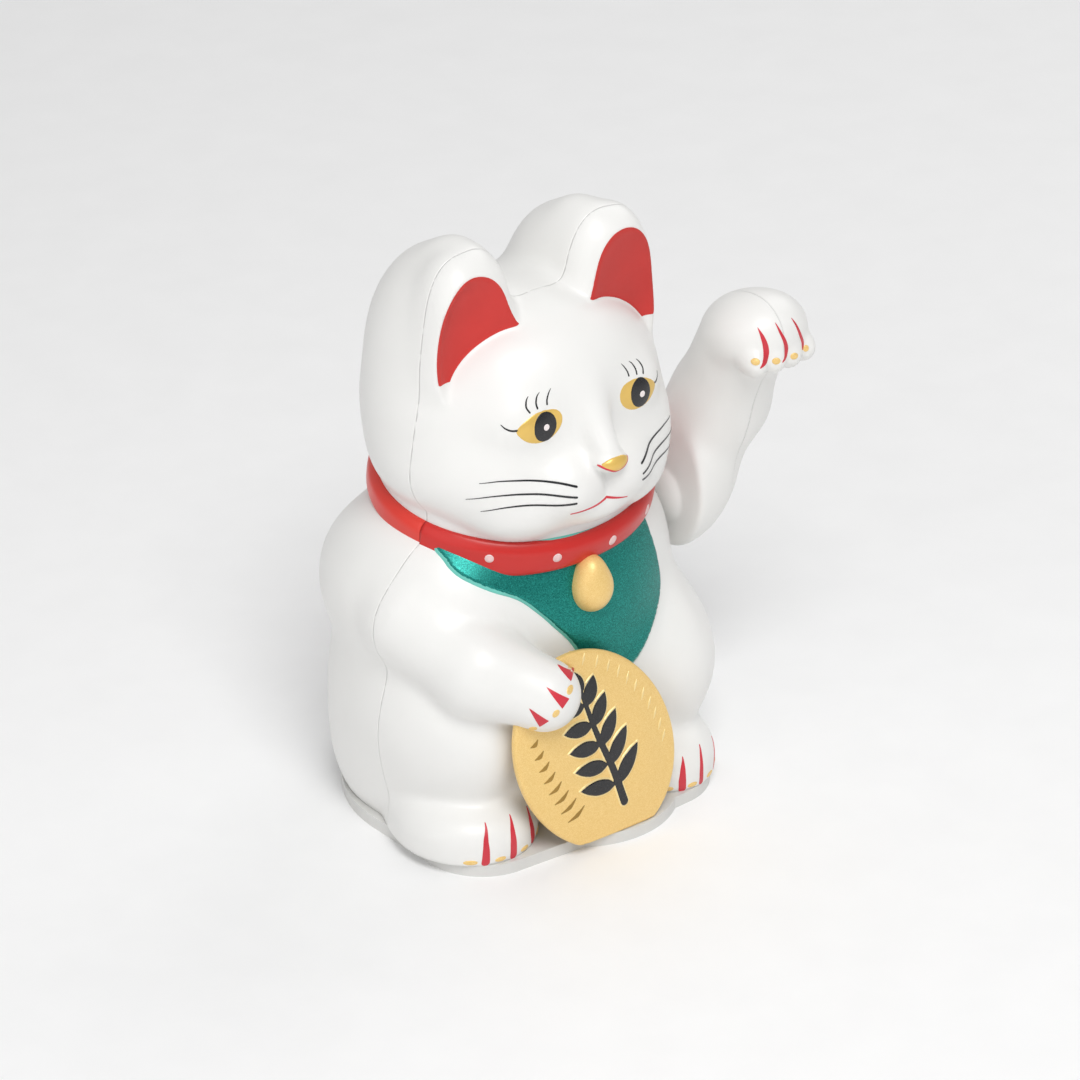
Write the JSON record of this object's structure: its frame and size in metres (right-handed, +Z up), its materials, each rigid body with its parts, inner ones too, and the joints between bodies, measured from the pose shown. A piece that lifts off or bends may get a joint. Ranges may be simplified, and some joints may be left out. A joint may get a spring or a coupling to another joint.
{
  "type": "beckoning cat figurine",
  "caption": "Sitting white cat figurine holding an oval coin, with a raised arm that rocks on an axle above a battery-driven coil.",
  "frame": {"origin": "centre of the base plate's underside, on the body's plane of symmetry", "axes": "+Z up from the base to the ears; the face and coin look along -Y; the raised left arm is on +X"},
  "size_m": [0.1138, 0.0832, 0.144],
  "materials": {
    "white_shell": "soft matte paint",
    "red_paint": "satin paint",
    "red_paint_light": "satin paint",
    "teal_paint": "metallic paint",
    "gold_paint": "satin metallic paint",
    "black_paint": "satin paint",
    "grey_plastic": "moulded",
    "ivory_plastic": "moulded",
    "black_plastic": "moulded",
    "steel": "plated",
    "magnet_plate": "plated",
    "cell_jacket": "printed jacket",
    "copper_wire": "enamelled wire",
    "board_green": "solder mask",
    "red_lead": "insulated",
    "black_lead": "insulated"
  },
  "bodies": {
    "cat": {"front_shell": "white_shell", "rear_shell": "white_shell", "collar_front": "red_paint", "collar_rear": "red_paint_light", "bib": "teal_paint", "bell": "gold_paint", "coin": "gold_paint", "coin_sprig": "black_paint", "base_plate": "grey_plastic", "base_screws": "steel", "battery_cell": "cell_jacket", "contact_plate": "steel", "contact_spring": "steel", "switch_case": "steel", "axle_frame": "grey_plastic", "frame_screws": "steel", "coil_bobbin": "ivory_plastic", "coil_winding": "copper_wire", "circuit_board": "board_green", "board_parts": "black_plastic", "board_screws": "steel", "lead_red": "red_lead", "lead_black": "black_lead"},
    "arm": {"arm_inner_shell": "white_shell", "arm_outer_shell": "white_shell", "swing_lever": "grey_plastic", "axle": "steel", "magnet": "magnet_plate", "counterweight": "steel"},
    "door": {"battery_door": "grey_plastic"},
    "knob": {"switch_knob": "black_plastic"}
  },
  "joints": [
    {"name": "arm_swing", "type": "hinge", "parent": "cat", "child": "arm", "pos_m": [0.025, 0.004, 0.06], "axis": [1, 0, 0], "range_deg": [-14, 18]},
    {"name": "door_slide", "type": "slide", "parent": "cat", "child": "door", "axis": [1, 0, 0], "range_m": [0, 0.06]},
    {"name": "switch_slide", "type": "slide", "parent": "cat", "child": "knob", "axis": [0, 1, 0], "range_m": [0, 0.0042]}
  ]
}
